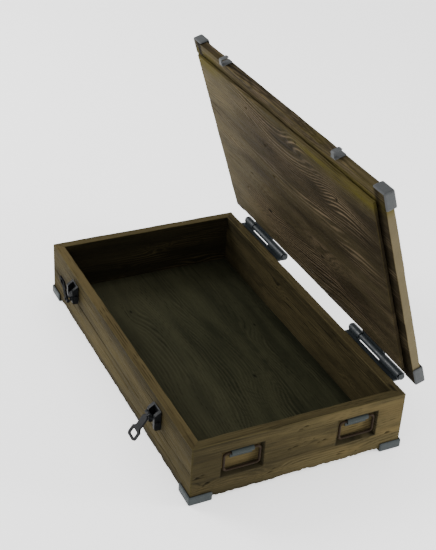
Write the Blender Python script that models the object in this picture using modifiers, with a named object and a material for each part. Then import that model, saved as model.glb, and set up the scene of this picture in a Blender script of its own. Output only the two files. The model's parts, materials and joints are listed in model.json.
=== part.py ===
"""A small wooden hinged case at doll scale, modelled in Blender.

The case stands with its long side along X. The two latches are on the -Y side, the two
hinges are on the +Y side, and each end has two recessed handles. Z is up, the origin is
the centre of the bottom board's underside, and every length is in metres. The lid stands
part open, the latch at +X is swung out and the latch at -X is nearly folded up.
"""

import math

import bmesh
import bpy
from mathutils import Matrix, Vector

# Case
CASE_LENGTH = 0.180
CASE_WIDTH = 0.105
WALL_HEIGHT = 0.029
WALL_THICKNESS = 0.005
FLOOR_THICKNESS = 0.0023
GAP = 0.0003
WOOD_EDGE = 0.0004

# Lid, measured with the lid shut
LID_THICKNESS = 0.0044
LID_UNDERSIDE = WALL_HEIGHT + GAP
LID_PANEL_DROP = 0.0019
LID_OPENING = math.radians(72.5)

# Corner caps
CAP_LEG = 0.0105
LID_CAP_LEG = 0.0082
CAP_SHEET = 0.0006
CAP_RISE = 0.0034
CAP_FOOT = 0.0010
CAP_ROUNDING = 0.0008
LID_CAP_FLANGE = 0.0006

# Hinges
HINGE_CENTRES = {"far": -0.0565, "near": 0.0565}
HINGE_AXIS_Y = CASE_WIDTH / 2 + 0.0047
HINGE_AXIS_Z = WALL_HEIGHT + 0.00015
HINGE_LENGTH = 0.043
BARREL_RADIUS = 0.0021
MIDDLE_BARREL_RADIUS = 0.0017
BORE_RADIUS = 0.0012
HINGE_PIN_RADIUS = 0.0009
HINGE_PIN_HEAD = 0.0016
LEAF_THICKNESS = 0.0009
LEAF_DROP = 0.0145
LID_LEAF_REACH = 0.0125
CASE_LEAF_STEP = 0.00162
FIRST_KNUCKLE = 0.0088
LAST_KNUCKLE = 0.0152

# Latches: angles are measured from straight down, and grow as a piece swings out and up
LATCH_CENTRES = {"far": -0.054, "near": 0.054}
LATCH_WIDTH = 0.0084
LATCH_CHEEK = 0.0018
LATCH_DEPTH = 0.0032
LATCH_PLATE = 0.0004
LATCH_BOTTOM = 0.0158
LATCH_TOP = 0.0256
LATCH_FRONT_TOP = 0.0228
LEVER_AXIS_OUT = 0.00195
LEVER_AXIS_Z = 0.0198
LEVER_THROW = 0.00428
LEVER_WIDTH = 0.0040
LEVER_HUB = 0.00095
LEVER_EAR = 0.0009
LEVER_CHEEK = 0.0009
LEVER_NOTCH = 0.00078
LATCH_PIN_RADIUS = 0.00035
LATCH_HOLE_RADIUS = 0.0006
LATCH_PIN_HEAD = 0.0009
LEVER_CLOSED = math.radians(32.7)
LEVER_OUT = math.radians(140.3)
LINK_CLOSED = math.radians(188.3)
LINK_OUT = math.radians(36.6)
LEVER_LEANING = math.radians(45.6)
LINK_LEANING = math.radians(170.1)
LINK_THICKNESS = 0.0009
LINK_ARM_WIDTH = 0.0040
LINK_ARM_START = 0.00145
LINK_RING_WIDTH = 0.0072
LINK_RING_START = 0.0084
LINK_LENGTH = 0.0136
LINK_HOLE_WIDTH = 0.0047
LINK_HOLE_START = 0.0095
LINK_HOLE_END = 0.0126

# Strikes on the lid's front edge
STRIKE_PLATE_WIDTH = 0.0038
STRIKE_HOOK_WIDTH = 0.0024
STRIKE_SHEET = 0.0006
STRIKE_REACH = 0.0034
STRIKE_BELOW = 0.0017
STRIKE_LIP = 0.0046

# Handles: a pocket in the end wall, a wire bail and the clip that holds it
HANDLE_CENTRES = {"front": -0.0284, "back": 0.0284}
POCKET_WIDTH = 0.0202
POCKET_BOTTOM = 0.0098
POCKET_TOP = 0.0232
POCKET_DEPTH = 0.0026
GROOVE_TOP = 0.0122
GROOVE_DEPTH = 0.0032
BAIL_WIDTH = 0.0172
BAIL_HEIGHT = 0.0090
BAIL_WIRE = 0.0006
BAIL_CORNER = 0.0016
BAIL_AXIS_Z = 0.0212
BAIL_AXIS_IN = 0.0010
CLIP_WIDTH = 0.0106
CLIP_OUTER = 0.0013
CLIP_INNER = 0.0009
CLIP_SHEET = 0.0005
CLIP_SKIRT = 0.0034

HALF_LENGTH = CASE_LENGTH / 2
HALF_WIDTH = CASE_WIDTH / 2
END_NAMES = {1: "near", -1: "far"}
SIDE_NAMES = {1: "back", -1: "front"}
MERGE_DISTANCE = 0.000001


def clear_scene():
    for item in list(bpy.data.objects):
        bpy.data.objects.remove(item, do_unlink=True)


def new_collection(name):
    collection = bpy.data.collections.new(name)
    bpy.context.scene.collection.children.link(collection)
    return collection


def new_material(name, colour, roughness, metallic=0.0):
    material = bpy.data.materials.new(name)
    material.use_nodes = True
    shader = material.node_tree.nodes["Principled BSDF"]
    shader.inputs["Base Color"].default_value = (*colour, 1.0)
    shader.inputs["Roughness"].default_value = roughness
    shader.inputs["Metallic"].default_value = metallic
    return material


def new_object(name, mesh, material, parent=None):
    item = bpy.data.objects.new(name, mesh)
    parts.objects.link(item)
    mesh.materials.append(material)
    item.parent = parent
    return item


def new_pivot(name, location, angle=0.0, parent=None):
    """An empty on a joint's axis, turned about X."""
    pivot = bpy.data.objects.new(name, None)
    parts.objects.link(pivot)
    pivot.empty_display_size = 0.005
    pivot.location = location
    pivot.rotation_euler = (angle, 0.0, 0.0)
    pivot.parent = parent
    return pivot


def box_mesh(name, low, high):
    """A box between two corners, as a primitive cube with its scale applied."""
    mesh = bpy.data.meshes.new(name)
    form = bmesh.new()
    size = [high[i] - low[i] for i in range(3)]
    centre = [(high[i] + low[i]) / 2 for i in range(3)]
    place = Matrix.Translation(centre) @ Matrix.Diagonal((*size, 1.0))
    bmesh.ops.create_cube(form, size=1.0, matrix=place)
    form.to_mesh(mesh)
    form.free()
    return mesh


def rod_mesh(name, start, end, radius, sides=24):
    """A closed cylinder between two points."""
    mesh = bpy.data.meshes.new(name)
    form = bmesh.new()
    run = Vector(end) - Vector(start)
    turn = run.to_track_quat("Z", "Y").to_matrix().to_4x4()
    place = Matrix.Translation((Vector(start) + Vector(end)) / 2) @ turn
    bmesh.ops.create_cone(
        form, cap_ends=True, segments=sides, radius1=radius, radius2=radius,
        depth=run.length, matrix=place,
    )
    form.to_mesh(mesh)
    form.free()
    return mesh


def turned_mesh(name, stations, sides=20):
    """A closed round part along X, from its positions and radii in order."""
    mesh = bpy.data.meshes.new(name)
    form = bmesh.new()
    rings = []
    for x, radius in stations:
        ring = []
        for step in range(sides):
            angle = 2 * math.pi * step / sides
            ring.append(form.verts.new((x, radius * math.cos(angle), radius * math.sin(angle))))
        rings.append(ring)
    for ring, following in zip(rings, rings[1:]):
        for step in range(sides):
            beside = (step + 1) % sides
            form.faces.new((ring[step], ring[beside], following[beside], following[step]))
    form.faces.new(rings[0])
    form.faces.new(rings[-1])
    bmesh.ops.recalc_face_normals(form, faces=form.faces)
    form.to_mesh(mesh)
    form.free()
    return mesh


def pin_mesh(name, half_length, radius, head_radius):
    """A pin along X with a flat head at each end, half its length to the heads' inner faces."""
    outer = half_length + CAP_SHEET
    return turned_mesh(name, [
        (-outer, head_radius), (-half_length, head_radius), (-half_length, radius),
        (half_length, radius), (half_length, head_radius), (outer, head_radius),
    ])


def prism_mesh(name, outline, low_z, high_z):
    """An upright prism on an outline in X and Y."""
    mesh = bpy.data.meshes.new(name)
    form = bmesh.new()
    lower = [form.verts.new((x, y, low_z)) for x, y in outline]
    upper = [form.verts.new((x, y, high_z)) for x, y in outline]
    form.faces.new(lower)
    form.faces.new(upper)
    for step in range(len(outline)):
        beside = (step + 1) % len(outline)
        form.faces.new((lower[step], lower[beside], upper[beside], upper[step]))
    bmesh.ops.recalc_face_normals(form, faces=form.faces)
    form.to_mesh(mesh)
    form.free()
    return mesh


def arc(centre, radius, start, end, steps):
    """Points of an arc in a plane, both ends included, with angles in degrees."""
    points = []
    for step in range(steps + 1):
        angle = math.radians(start + (end - start) * step / steps)
        points.append((centre[0] + radius * math.cos(angle), centre[1] + radius * math.sin(angle)))
    return points


def outline_mesh(name, outlines, thickness, turn):
    """A plate from flat outlines, the first one its edge and the rest its holes."""
    curve = bpy.data.curves.new(name, "CURVE")
    curve.dimensions = "2D"
    curve.fill_mode = "BOTH"
    curve.extrude = thickness / 2
    for outline in outlines:
        spline = curve.splines.new("POLY")
        spline.points.add(len(outline) - 1)
        for point, (u, v) in zip(spline.points, outline):
            point.co = (u, v, 0.0, 1.0)
        spline.use_cyclic_u = True
    return mesh_of_curve(name, curve, turn)


def mesh_of_curve(name, curve, turn):
    guide = bpy.data.objects.new(name + "_curve", curve)
    bpy.context.scene.collection.objects.link(guide)
    bpy.context.view_layer.update()
    solid = guide.evaluated_get(bpy.context.evaluated_depsgraph_get())
    mesh = bpy.data.meshes.new_from_object(solid)
    mesh.name = name
    form = bmesh.new()
    form.from_mesh(mesh)
    bmesh.ops.remove_doubles(form, verts=form.verts, dist=MERGE_DISTANCE)
    bmesh.ops.transform(form, matrix=turn, verts=form.verts)
    bmesh.ops.recalc_face_normals(form, faces=form.faces)
    form.to_mesh(mesh)
    form.free()
    bpy.data.objects.remove(guide)
    return mesh


def add_tool(item, mesh, operation):
    """Cut a mesh from an object or join it on, with a Boolean that stays on the object."""
    tool = bpy.data.objects.new(item.name + "_" + operation.lower(), mesh)
    cutters.objects.link(tool)
    tool.hide_render = True
    tool.display_type = "WIRE"
    tool.parent = item
    change = item.modifiers.new(operation.lower(), "BOOLEAN")
    change.operation = operation
    change.solver = "EXACT"
    change.object = tool
    return tool


def cut(item, mesh):
    return add_tool(item, mesh, "DIFFERENCE")


def join(item, mesh):
    return add_tool(item, mesh, "UNION")


def round_edges(item, width, segments=1):
    bevel = item.modifiers.new("edges", "BEVEL")
    bevel.width = width
    bevel.segments = segments
    bevel.limit_method = "ANGLE"
    bevel.angle_limit = math.radians(40.0)
    return item


def shade_round(item):
    item.data.shade_smooth()
    item.data.set_sharp_from_angle(angle=math.radians(35.0))
    return item


# The plane of an outline, as the axes that its u, v and thickness run along
PLANE_YZ = Matrix(((0, 0, 1, 0), (1, 0, 0, 0), (0, 1, 0, 0), (0, 0, 0, 1)))
PLANE_XZ = Matrix(((1, 0, 0, 0), (0, 0, -1, 0), (0, 1, 0, 0), (0, 0, 0, 1)))


def make_floor():
    low = (-HALF_LENGTH + WALL_THICKNESS + GAP, -HALF_WIDTH + WALL_THICKNESS + GAP, 0.0)
    high = (-low[0], -low[1], FLOOR_THICKNESS)
    new_object("bottom_board", box_mesh("bottom_board", low, high), wood)


def mitre(wall, end, side, back_x, back_y):
    """Cut a wall's end on the diagonal of a corner of the case, set back along X or Y."""
    far = 4 * WALL_THICKNESS
    beyond_x = far if back_x else -far
    outline = [
        (HALF_LENGTH - far - back_x, HALF_WIDTH - far - back_y),
        (HALF_LENGTH + far - back_x, HALF_WIDTH + far - back_y),
        (HALF_LENGTH + far + beyond_x, HALF_WIDTH + far - beyond_x),
        (HALF_LENGTH - far + beyond_x, HALF_WIDTH - far - beyond_x),
    ]
    outline = [(end * x, side * y) for x, y in outline]
    cut(wall, prism_mesh(wall.name + "_mitre", outline, -WALL_HEIGHT, 2 * WALL_HEIGHT))


def make_long_wall(side):
    """A front or back wall, mitred against the two end walls."""
    name = SIDE_NAMES[side] + "_wall"
    inner = side * (HALF_WIDTH - WALL_THICKNESS)
    outer = side * HALF_WIDTH
    low = (-HALF_LENGTH, min(inner, outer), 0.0)
    high = (HALF_LENGTH, max(inner, outer), WALL_HEIGHT)
    wall = round_edges(new_object(name, box_mesh(name, low, high), wood), WOOD_EDGE)
    for end in END_NAMES:
        mitre(wall, end, side, GAP / math.sqrt(2), 0.0)


def make_end_wall(end):
    """An end wall, mitred against the long walls, with two pockets for its handles."""
    name = END_NAMES[end] + "_end_wall"
    inner = end * (HALF_LENGTH - WALL_THICKNESS)
    outer = end * HALF_LENGTH
    low = (min(inner, outer), -HALF_WIDTH, 0.0)
    high = (max(inner, outer), HALF_WIDTH, WALL_HEIGHT)
    wall = round_edges(new_object(name, box_mesh(name, low, high), wood), WOOD_EDGE)
    for side in SIDE_NAMES:
        mitre(wall, end, side, 0.0, GAP / math.sqrt(2))
    pocket_floor = end * (HALF_LENGTH - POCKET_DEPTH)
    past_face = end * (HALF_LENGTH + POCKET_DEPTH)
    for centre in HANDLE_CENTRES.values():
        pocket_low = (min(pocket_floor, past_face), centre - POCKET_WIDTH / 2, POCKET_BOTTOM)
        pocket_high = (max(pocket_floor, past_face), centre + POCKET_WIDTH / 2, POCKET_TOP)
        cut(wall, box_mesh(name + "_pocket", pocket_low, pocket_high))
        groove_floor = end * (HALF_LENGTH - GROOVE_DEPTH)
        groove_low = (min(groove_floor, past_face), pocket_low[1], POCKET_BOTTOM)
        groove_high = (max(groove_floor, past_face), pocket_high[1], GROOVE_TOP)
        cut(wall, box_mesh(name + "_groove", groove_low, groove_high))


def corner_box(name, end, side, reach, leg, low_z, high_z):
    """A box at a corner, from a leg's length inside it to a reach outside it."""
    xs = sorted((end * (HALF_LENGTH - leg), end * (HALF_LENGTH + reach)))
    ys = sorted((side * (HALF_WIDTH - leg), side * (HALF_WIDTH + reach)))
    return box_mesh(name, (xs[0], ys[0], low_z), (xs[1], ys[1], high_z))


def make_case_cap(end, side):
    """A sheet cap round a bottom corner, whose bottom is a foot."""
    name = "_".join(("case_cap", END_NAMES[end], SIDE_NAMES[side]))
    bottom = -GAP - CAP_FOOT
    solid = corner_box(name, end, side, GAP + CAP_SHEET, CAP_LEG, bottom, CAP_RISE)
    cap = round_edges(new_object(name, solid, cap_metal), CAP_ROUNDING, 2)
    cut(cap, corner_box(name + "_wood", end, side, GAP, 2 * CAP_LEG, -GAP, 2 * CAP_RISE))
    cut(cap, corner_box(name + "_board", end, side, -WALL_THICKNESS, 2 * CAP_LEG, 2 * bottom, 0.0))


def make_lid_cap(end, side):
    """A sheet cap round a corner of the lid, folded over its upper face."""
    name = "_".join(("lid_cap", END_NAMES[end], SIDE_NAMES[side]))
    top = LID_UNDERSIDE + LID_THICKNESS + GAP
    solid = corner_box(
        name, end, side, GAP + CAP_SHEET, LID_CAP_LEG, LID_UNDERSIDE, top + LID_CAP_FLANGE,
    )
    cap = round_edges(new_object(name, solid, cap_metal, lid_frame), CAP_ROUNDING, 2)
    cut(cap, corner_box(name + "_wood", end, side, GAP, 2 * LID_CAP_LEG, LID_UNDERSIDE / 2, top))


def make_lid():
    top = LID_UNDERSIDE + LID_THICKNESS
    low = (-HALF_LENGTH, -HALF_WIDTH, LID_UNDERSIDE)
    high = (HALF_LENGTH, HALF_WIDTH, top)
    board = new_object("lid_board", box_mesh("lid_board", low, high), wood, lid_frame)
    round_edges(board, WOOD_EDGE)
    clearance = WALL_THICKNESS + 2 * GAP
    drop = LID_UNDERSIDE - GAP
    low = (-HALF_LENGTH + clearance, -HALF_WIDTH + clearance, drop - LID_PANEL_DROP)
    high = (HALF_LENGTH - clearance, HALF_WIDTH - clearance, drop)
    panel = new_object("lid_inner_panel", box_mesh("lid_inner_panel", low, high), wood, lid_frame)
    round_edges(panel, WOOD_EDGE)


def knuckle_spans(centre):
    """The stretches of X of the body's first and last knuckle, and of the lid's between them."""
    start = centre - HINGE_LENGTH / 2
    end = centre + HINGE_LENGTH / 2
    first = (start, start + FIRST_KNUCKLE)
    last = (end - LAST_KNUCKLE, end)
    middle = (first[1] + GAP, last[0] - GAP)
    return first, middle, last


def barrel(name, span, radius):
    start = (span[0], HINGE_AXIS_Y, HINGE_AXIS_Z)
    end = (span[1], HINGE_AXIS_Y, HINGE_AXIS_Z)
    return rod_mesh(name, start, end, radius, 28)


def make_hinge(which):
    centre = HINGE_CENTRES[which]
    first, middle, last = knuckle_spans(centre)
    inner = HALF_WIDTH + GAP
    outer = inner + LEAF_THICKNESS
    web_low = HINGE_AXIS_Z - BARREL_RADIUS
    web_high = HINGE_AXIS_Z + MIDDLE_BARREL_RADIUS
    bore = rod_mesh(
        which + "_bore",
        (centre - HINGE_LENGTH, HINGE_AXIS_Y, HINGE_AXIS_Z),
        (centre + HINGE_LENGTH, HINGE_AXIS_Y, HINGE_AXIS_Z), BORE_RADIUS, 20,
    )

    name = which + "_hinge_case_leaf"
    low = (first[0], inner, web_low + LEAF_THICKNESS - LEAF_DROP)
    high = (last[1], outer, web_low + LEAF_THICKNESS)
    leaf = new_object(name, box_mesh(name, low, high), dark_steel)
    for span in (first, last):
        web = box_mesh(name, (span[0], inner, web_low), (span[1], HINGE_AXIS_Y, high[2]))
        join(leaf, web)
        join(leaf, barrel(name, span, BARREL_RADIUS))
    step_low = (first[1] - LEAF_THICKNESS, inner, web_low)
    join(leaf, box_mesh(name, step_low, (last[0] + LEAF_THICKNESS, HINGE_AXIS_Y - CASE_LEAF_STEP, high[2])))
    cut(leaf, bore)
    shade_round(leaf)

    name = which + "_hinge_lid_leaf"
    lid_top = LID_UNDERSIDE + LID_THICKNESS + GAP
    low = (first[0], HALF_WIDTH - LID_LEAF_REACH, lid_top)
    high = (last[1], outer, lid_top + LEAF_THICKNESS)
    leaf = new_object(name, box_mesh(name, low, high), dark_steel, lid_frame)
    fold_low = (middle[0], inner, web_high - LEAF_THICKNESS)
    join(leaf, box_mesh(name, fold_low, (middle[1], outer, high[2] - LEAF_THICKNESS / 2)))
    join(leaf, box_mesh(name, fold_low, (middle[1], HINGE_AXIS_Y, web_high)))
    join(leaf, barrel(name, middle, MIDDLE_BARREL_RADIUS))
    cut(leaf, bore)
    shade_round(leaf)

    name = which + "_hinge_pin"
    mesh = pin_mesh(name, HINGE_LENGTH / 2 + GAP, HINGE_PIN_RADIUS, HINGE_PIN_HEAD)
    pin = new_object(name, mesh, dark_steel)
    pin.location = (centre, HINGE_AXIS_Y, HINGE_AXIS_Z)
    shade_round(pin)


def wall_outwards(out, up):
    """A point of the latch's side view: how far out from the front wall, and how high."""
    return (-HALF_WIDTH - out, up)


def make_latch_base(which, centre):
    """A bracket of a back plate and two cheeks, with a hole through the cheeks for the lever's pin."""
    name = which + "_latch_base"
    front = GAP + LATCH_DEPTH
    corner = 0.0012
    side_view = [
        wall_outwards(GAP, LATCH_BOTTOM),
        *[wall_outwards(front - corner + u, LATCH_BOTTOM + corner + v)
          for u, v in arc((0.0, 0.0), corner, -90.0, 0.0, 4)],
        wall_outwards(front, LATCH_FRONT_TOP),
        *[wall_outwards(front - corner + u, LATCH_FRONT_TOP + v)
          for u, v in arc((0.0, 0.0), corner, 15.0, 60.0, 3)],
        wall_outwards(GAP, LATCH_TOP),
    ]
    body = outline_mesh(name, [side_view], LATCH_WIDTH, PLANE_YZ)
    base = new_object(name, body, black_steel)
    base.location = (centre, 0.0, 0.0)
    half_channel = LATCH_WIDTH / 2 - LATCH_CHEEK
    plate = -HALF_WIDTH - GAP - LATCH_PLATE
    low = (-half_channel, plate - LATCH_DEPTH * 2, LATCH_BOTTOM / 2)
    high = (half_channel, plate, LATCH_TOP * 2)
    cut(base, box_mesh(name, low, high))
    axis = (-HALF_WIDTH - LEVER_AXIS_OUT, LEVER_AXIS_Z)
    cut(base, rod_mesh(
        name, (-LATCH_WIDTH, *axis), (LATCH_WIDTH, *axis), LATCH_HOLE_RADIUS, 16,
    ))


def make_lever(which, pivot):
    """A short crank from the base's pin to the link's pin, forked for the link's eye."""
    name = which + "_latch_lever"
    end_v = -LEVER_THROW
    fold = 90.0 - math.degrees(LINK_CLOSED - LEVER_CLOSED - math.pi / 2)
    notch = math.degrees(math.asin(LEVER_NOTCH / LEVER_EAR))
    side_view = arc((0.0, 0.0), LEVER_HUB, 0.0, 180.0 + fold, 12)
    side_view += arc((0.0, end_v), LEVER_EAR, 90.0 + fold - notch, 360.0, 14)
    body = outline_mesh(name, [side_view], LEVER_WIDTH, PLANE_YZ)
    lever = new_object(name, body, black_steel, pivot)
    half_slot = LEVER_WIDTH / 2 - LEVER_CHEEK
    slot_low = (-half_slot, -LEVER_HUB * 2, end_v - LEVER_EAR * 2)
    slot_high = (half_slot, LEVER_HUB * 2, end_v + LEVER_EAR + 2 * GAP)
    cut(lever, box_mesh(name, slot_low, slot_high))
    for height in (0.0, end_v):
        cut(lever, rod_mesh(
            name, (-LEVER_WIDTH, 0, height), (LEVER_WIDTH, 0, height), LATCH_HOLE_RADIUS, 16,
        ))
    shade_round(lever)


def make_link(which, pivot):
    """A flat arm with an eye for its pin at the top and a ring for the strike at its end."""
    name = which + "_latch_link"
    half_arm = LINK_ARM_WIDTH / 2
    half_ring = LINK_RING_WIDTH / 2
    arm_top = -LINK_ARM_START
    neck = 0.0009
    corner = 0.0016
    right = [
        (half_arm * 0.8, arm_top),
        (half_arm, arm_top - neck),
        (half_arm, -LINK_RING_START + neck),
        *arc((half_ring - neck, -LINK_RING_START - neck), neck, 90.0, 0.0, 3),
        *arc((half_ring - corner, -LINK_LENGTH + corner), corner, 0.0, -90.0, 5),
    ]
    left = [(-u, v) for u, v in reversed(right)]
    half_hole = LINK_HOLE_WIDTH / 2
    fillet = 0.0006
    hole = []
    for u, v, start in (
        (half_hole - fillet, -LINK_HOLE_START - fillet, 0.0),
        (-half_hole + fillet, -LINK_HOLE_START - fillet, 90.0),
        (-half_hole + fillet, -LINK_HOLE_END + fillet, 180.0),
        (half_hole - fillet, -LINK_HOLE_END + fillet, 270.0),
    ):
        hole += arc((u, v), fillet, start, start + 90.0, 3)
    body = outline_mesh(name, [right + left, hole], LINK_THICKNESS, PLANE_XZ)
    link = new_object(name, body, black_steel, pivot)
    half_eye = LEVER_WIDTH / 2 - LEVER_CHEEK - GAP
    tongue_low = (-half_eye, -LINK_THICKNESS / 2, arm_top - neck)
    join(link, box_mesh(name, tongue_low, (half_eye, LINK_THICKNESS / 2, 0.0)))
    join(link, rod_mesh(name, (-half_eye, 0, 0), (half_eye, 0, 0), LEVER_EAR, 20))
    cut(link, rod_mesh(name, (-LEVER_WIDTH, 0, 0), (LEVER_WIDTH, 0, 0), LATCH_HOLE_RADIUS, 16))
    shade_round(link)


def make_latch(which, lever_angle, link_angle):
    centre = LATCH_CENTRES[which]
    make_latch_base(which, centre)
    axis = (centre, -HALF_WIDTH - LEVER_AXIS_OUT, LEVER_AXIS_Z)
    case_pivot = new_pivot(which + "_lever_axis", axis)
    name = which + "_lever_pin"
    mesh = pin_mesh(name, LATCH_WIDTH / 2 + GAP, LATCH_PIN_RADIUS, LATCH_PIN_HEAD)
    shade_round(new_object(name, mesh, black_steel, case_pivot))
    lever_pivot = new_pivot(which + "_lever_frame", axis, -lever_angle)
    make_lever(which, lever_pivot)
    link_axis = (0.0, 0.0, -LEVER_THROW)
    link_pivot = new_pivot(which + "_link_frame", link_axis, lever_angle - link_angle, lever_pivot)
    make_link(which, link_pivot)
    pin_pivot = new_pivot(which + "_link_axis", link_axis, 0.0, lever_pivot)
    pin_half = LEVER_WIDTH / 2
    name = which + "_link_pin"
    mesh = turned_mesh(name, [(-pin_half, LATCH_PIN_RADIUS), (pin_half, LATCH_PIN_RADIUS)])
    shade_round(new_object(name, mesh, black_steel, pin_pivot))


def make_strike(which):
    """A hook on the lid's front edge, with its mouth upwards, for the link's ring."""
    name = which + "_strike"
    bottom = LID_UNDERSIDE - STRIKE_BELOW
    plate_top = LID_UNDERSIDE + LID_THICKNESS * 0.85
    inner = GAP
    outer = GAP + STRIKE_REACH
    side_view = [
        wall_outwards(inner, bottom),
        wall_outwards(outer - STRIKE_SHEET, bottom),
        wall_outwards(outer, bottom + STRIKE_SHEET),
        wall_outwards(outer, bottom + STRIKE_LIP - STRIKE_SHEET),
        wall_outwards(outer - STRIKE_SHEET / 2, bottom + STRIKE_LIP),
        wall_outwards(outer - STRIKE_SHEET, bottom + STRIKE_LIP - STRIKE_SHEET / 2),
        wall_outwards(outer - STRIKE_SHEET, bottom + STRIKE_SHEET * 1.3),
        wall_outwards(outer - STRIKE_SHEET * 1.3, bottom + STRIKE_SHEET),
        wall_outwards(inner + STRIKE_SHEET, bottom + STRIKE_SHEET),
        wall_outwards(inner + STRIKE_SHEET, plate_top),
        wall_outwards(inner, plate_top),
    ]
    body = outline_mesh(name, [side_view], STRIKE_HOOK_WIDTH, PLANE_YZ)
    strike = new_object(name, body, cap_metal, lid_frame)
    strike.location.x = LATCH_CENTRES[which]
    plate_low = (-STRIKE_PLATE_WIDTH / 2, -HALF_WIDTH - inner - STRIKE_SHEET, bottom)
    plate_high = (STRIKE_PLATE_WIDTH / 2, -HALF_WIDTH - inner, plate_top)
    join(strike, box_mesh(name, plate_low, plate_high))


def bail_curve(name):
    """A closed wire round a rectangle with round corners, hanging from the origin."""
    curve = bpy.data.curves.new(name, "CURVE")
    curve.dimensions = "3D"
    curve.bevel_depth = BAIL_WIRE
    curve.bevel_resolution = 2
    half = BAIL_WIDTH / 2 - BAIL_CORNER
    points = []
    for u, v, start in (
        (half, -BAIL_CORNER, 0.0),
        (-half, -BAIL_CORNER, 90.0),
        (-half, -BAIL_HEIGHT + BAIL_CORNER, 180.0),
        (half, -BAIL_HEIGHT + BAIL_CORNER, 270.0),
    ):
        points += arc((u, v), BAIL_CORNER, start, start + 90.0, 5)
    spline = curve.splines.new("POLY")
    spline.points.add(len(points) - 1)
    for point, (u, v) in zip(spline.points, points):
        point.co = (0.0, u, v, 1.0)
    spline.use_cyclic_u = True
    return curve


def make_handle(end, place):
    """A wire bail in its pocket, and the folded clip round the bail's upper bar."""
    label = END_NAMES[end] + "_" + place
    axis = (end * (HALF_LENGTH - BAIL_AXIS_IN), HANDLE_CENTRES[place], BAIL_AXIS_Z)
    pivot = new_pivot(label + "_bail_axis", axis)
    name = label + "_bail"
    bail_mesh = mesh_of_curve(name, bail_curve(name), Matrix.Identity(4))
    shade_round(new_object(name, bail_mesh, bail_steel, pivot))

    name = label + "_bail_clip"
    skirt_inner = -POCKET_DEPTH + BAIL_AXIS_IN + GAP
    half = CLIP_WIDTH / 2
    tube = rod_mesh(name, (0, -half, 0), (0, half, 0), CLIP_OUTER, 24)
    clip = new_object(name, tube, clip_metal, pivot)
    xs = sorted((end * skirt_inner, end * (skirt_inner + CLIP_SHEET)))
    join(clip, box_mesh(name, (xs[0], -half, -CLIP_SKIRT), (xs[1], half, 0.0)))
    cut(clip, rod_mesh(name, (0, -CLIP_WIDTH, 0), (0, CLIP_WIDTH, 0), CLIP_INNER, 20))
    shade_round(clip)


clear_scene()
parts = new_collection("wooden_case")
cutters = new_collection("cutters")

wood = new_material("weathered_wood", (0.20, 0.155, 0.075), 0.7)
cap_metal = new_material("cap_metal", (0.30, 0.32, 0.33), 0.45, 0.6)
dark_steel = new_material("dark_steel", (0.11, 0.12, 0.13), 0.4, 0.8)
black_steel = new_material("black_steel", (0.03, 0.033, 0.037), 0.4, 0.8)
bail_steel = new_material("bail_steel", (0.12, 0.09, 0.075), 0.5, 0.6)
clip_metal = new_material("clip_metal", (0.27, 0.30, 0.30), 0.4, 0.7)

lid_axis = new_pivot("lid_axis", (0.0, HINGE_AXIS_Y, HINGE_AXIS_Z), -LID_OPENING)
lid_frame = new_pivot("lid_frame", (0.0, -HINGE_AXIS_Y, -HINGE_AXIS_Z), 0.0, lid_axis)

make_floor()
make_lid()
for side_sign in (-1, 1):
    make_long_wall(side_sign)
for end_sign in (-1, 1):
    make_end_wall(end_sign)
    for side_sign in (-1, 1):
        make_case_cap(end_sign, side_sign)
        make_lid_cap(end_sign, side_sign)
    for handle_place in HANDLE_CENTRES:
        make_handle(end_sign, handle_place)
for hinge_place in HINGE_CENTRES:
    make_hinge(hinge_place)
make_latch("far", LEVER_LEANING, LINK_LEANING)
make_latch("near", LEVER_OUT, LINK_OUT)
for latch_place in LATCH_CENTRES:
    make_strike(latch_place)
bpy.context.view_layer.update()
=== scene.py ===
import json
import math

import bmesh
import bpy
import numpy as np
from mathutils import Euler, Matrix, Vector


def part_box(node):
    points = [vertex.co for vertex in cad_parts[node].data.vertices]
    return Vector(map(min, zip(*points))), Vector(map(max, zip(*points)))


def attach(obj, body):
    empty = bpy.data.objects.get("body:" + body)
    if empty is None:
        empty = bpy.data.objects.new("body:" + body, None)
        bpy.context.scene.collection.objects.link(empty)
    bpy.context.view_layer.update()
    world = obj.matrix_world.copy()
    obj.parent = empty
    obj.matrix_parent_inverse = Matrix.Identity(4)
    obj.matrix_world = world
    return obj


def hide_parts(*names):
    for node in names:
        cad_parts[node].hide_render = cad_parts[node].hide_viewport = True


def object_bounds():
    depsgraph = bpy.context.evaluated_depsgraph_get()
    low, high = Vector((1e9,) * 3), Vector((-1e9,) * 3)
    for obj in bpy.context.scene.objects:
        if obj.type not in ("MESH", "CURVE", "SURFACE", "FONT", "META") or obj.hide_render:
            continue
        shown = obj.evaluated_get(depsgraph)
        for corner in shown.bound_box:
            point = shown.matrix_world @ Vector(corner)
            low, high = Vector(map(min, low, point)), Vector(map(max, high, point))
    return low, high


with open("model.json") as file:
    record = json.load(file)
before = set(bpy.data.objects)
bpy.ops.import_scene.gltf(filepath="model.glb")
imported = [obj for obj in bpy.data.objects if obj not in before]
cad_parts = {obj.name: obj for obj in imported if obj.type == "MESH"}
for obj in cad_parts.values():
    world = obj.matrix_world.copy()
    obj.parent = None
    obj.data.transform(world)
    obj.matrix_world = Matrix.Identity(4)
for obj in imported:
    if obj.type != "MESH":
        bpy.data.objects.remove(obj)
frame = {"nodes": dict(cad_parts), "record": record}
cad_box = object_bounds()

# ---------------------------------------------------------------- smooth noise


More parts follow.
